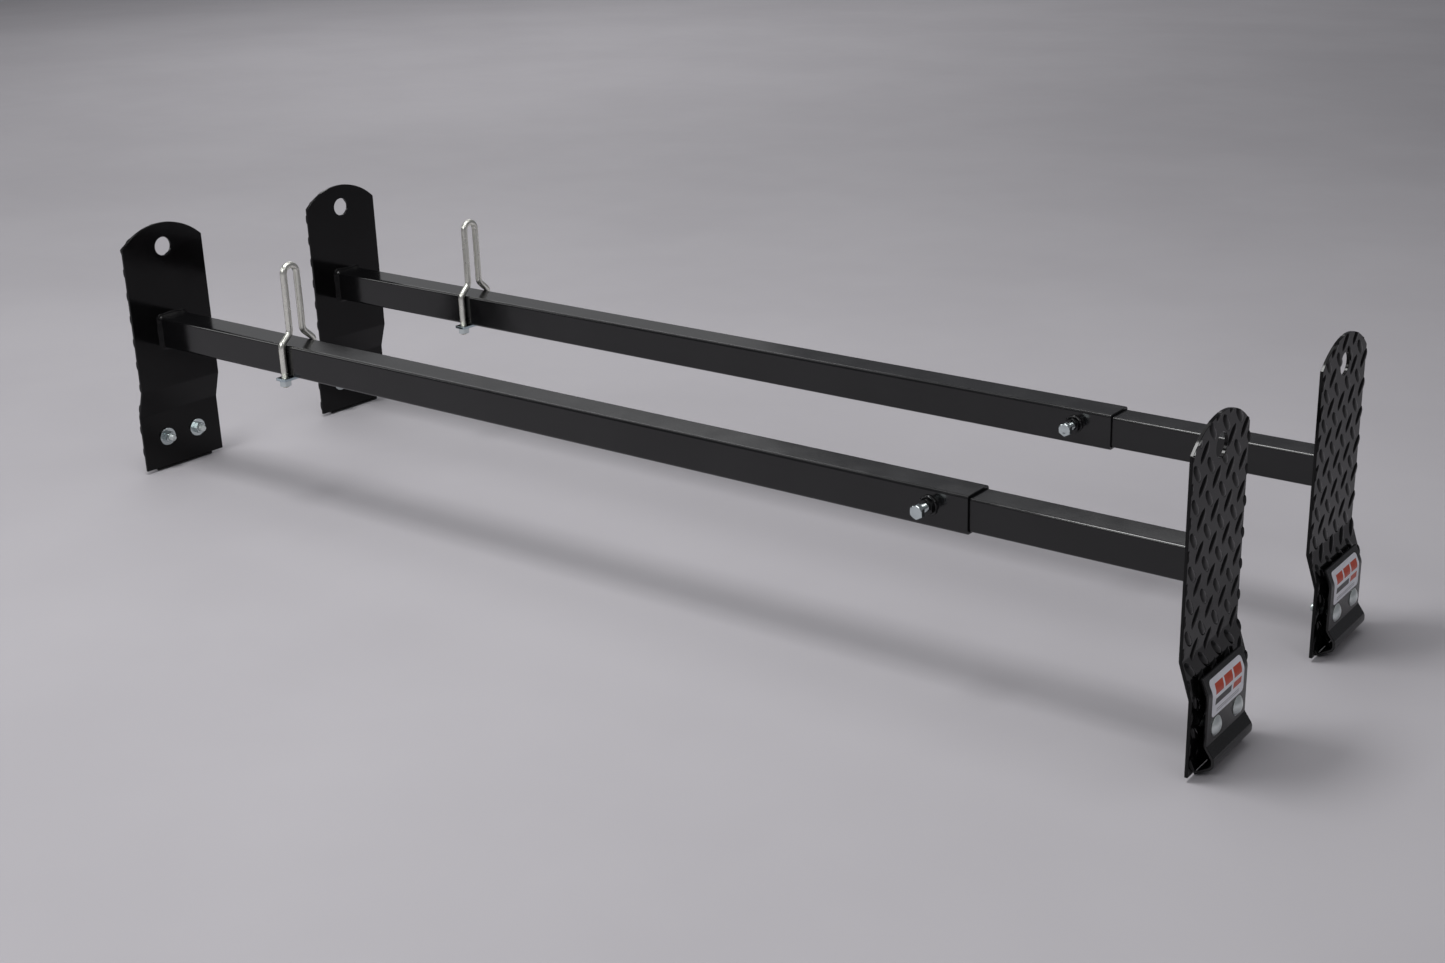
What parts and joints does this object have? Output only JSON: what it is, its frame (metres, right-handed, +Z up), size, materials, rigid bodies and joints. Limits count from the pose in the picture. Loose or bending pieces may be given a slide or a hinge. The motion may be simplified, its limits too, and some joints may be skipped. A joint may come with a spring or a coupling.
{
  "type": "ladder rack",
  "caption": "Gutter-mount ladder rack: paired telescoping square crossbars with arched tread end plates, hooked gutter clamps, set screws and sliding loop ladder stops.",
  "frame": {"origin": "bottom centre of the rack's bounding box, level with the lowest edge of the gutter hooks", "axes": "+X along the crossbars from the outer-tube end to the inner-tube end, +Y from the front bar to the rear bar, +Z up"},
  "size_m": [1.4572, 0.3974, 0.3146],
  "materials": {
    "black_powder_coat": "semi-gloss black powder coat",
    "zinc_plate": "bright zinc plate",
    "label_film": "satin printed film"
  },
  "bodies": {
    "front_bar": {"front_outer_tube": "black_powder_coat", "front_left_end_plate": "black_powder_coat", "front_left_plate_weld": "black_powder_coat", "front_weld_nut": "black_powder_coat", "front_left_washers": "zinc_plate", "front_left_nuts": "zinc_plate"},
    "front_extension": {"front_inner_tube": "black_powder_coat", "front_right_end_plate": "black_powder_coat", "front_right_plate_weld": "black_powder_coat", "front_right_washers": "zinc_plate", "front_right_nuts": "zinc_plate"},
    "front_set_screw": {"front_set_screw": "zinc_plate"},
    "front_ladder_stop": {"front_ladder_stop_rod": "zinc_plate", "front_ladder_stop_strap": "zinc_plate", "front_ladder_stop_nuts": "zinc_plate"},
    "front_left_clamp": {"front_left_gutter_clamp": "black_powder_coat", "front_left_carriage_bolts": "zinc_plate"},
    "front_right_clamp": {"front_right_gutter_clamp": "black_powder_coat", "front_right_carriage_bolts": "zinc_plate", "front_right_clamp_label": "label_film"},
    "rear_bar": {"rear_outer_tube": "black_powder_coat", "rear_left_end_plate": "black_powder_coat", "rear_left_plate_weld": "black_powder_coat", "rear_weld_nut": "black_powder_coat", "rear_left_washers": "zinc_plate", "rear_left_nuts": "zinc_plate"},
    "rear_extension": {"rear_inner_tube": "black_powder_coat", "rear_right_end_plate": "black_powder_coat", "rear_right_plate_weld": "black_powder_coat", "rear_right_washers": "zinc_plate", "rear_right_nuts": "zinc_plate"},
    "rear_set_screw": {"rear_set_screw": "zinc_plate"},
    "rear_ladder_stop": {"rear_ladder_stop_rod": "zinc_plate", "rear_ladder_stop_strap": "zinc_plate", "rear_ladder_stop_nuts": "zinc_plate"},
    "rear_left_clamp": {"rear_left_gutter_clamp": "black_powder_coat", "rear_left_carriage_bolts": "zinc_plate"},
    "rear_right_clamp": {"rear_right_gutter_clamp": "black_powder_coat", "rear_right_carriage_bolts": "zinc_plate", "rear_right_clamp_label": "label_film"}
  },
  "joints": [
    {"name": "front_extension_slide", "type": "slide", "parent": "front_bar", "child": "front_extension", "axis": [1, 0, 0], "range_m": [-0.215, 0.3]},
    {"name": "front_set_screw_feed", "type": "slide", "parent": "front_bar", "child": "front_set_screw", "axis": [0, -1, 0], "range_m": [0, 0.006]},
    {"name": "front_ladder_stop_slide", "type": "slide", "parent": "front_bar", "child": "front_ladder_stop", "axis": [1, 0, 0], "range_m": [-0.215, 0.87]},
    {"name": "front_left_clamp_release", "type": "slide", "parent": "front_bar", "child": "front_left_clamp", "axis": [-1, 0, 0], "range_m": [0, 0.009]},
    {"name": "front_right_clamp_release", "type": "slide", "parent": "front_extension", "child": "front_right_clamp", "axis": [1, 0, 0], "range_m": [0, 0.009]},
    {"name": "rear_bar_placement", "type": "slide", "parent": "front_bar", "child": "rear_bar", "axis": [0, 1, 0], "range_m": [-0.15, 0.9]},
    {"name": "rear_extension_slide", "type": "slide", "parent": "rear_bar", "child": "rear_extension", "axis": [1, 0, 0], "range_m": [-0.215, 0.3]},
    {"name": "rear_set_screw_feed", "type": "slide", "parent": "rear_bar", "child": "rear_set_screw", "axis": [0, -1, 0], "range_m": [0, 0.006]},
    {"name": "rear_ladder_stop_slide", "type": "slide", "parent": "rear_bar", "child": "rear_ladder_stop", "axis": [1, 0, 0], "range_m": [-0.222, 0.863]},
    {"name": "rear_left_clamp_release", "type": "slide", "parent": "rear_bar", "child": "rear_left_clamp", "axis": [-1, 0, 0], "range_m": [0, 0.009]},
    {"name": "rear_right_clamp_release", "type": "slide", "parent": "rear_extension", "child": "rear_right_clamp", "axis": [1, 0, 0], "range_m": [0, 0.009]}
  ]
}
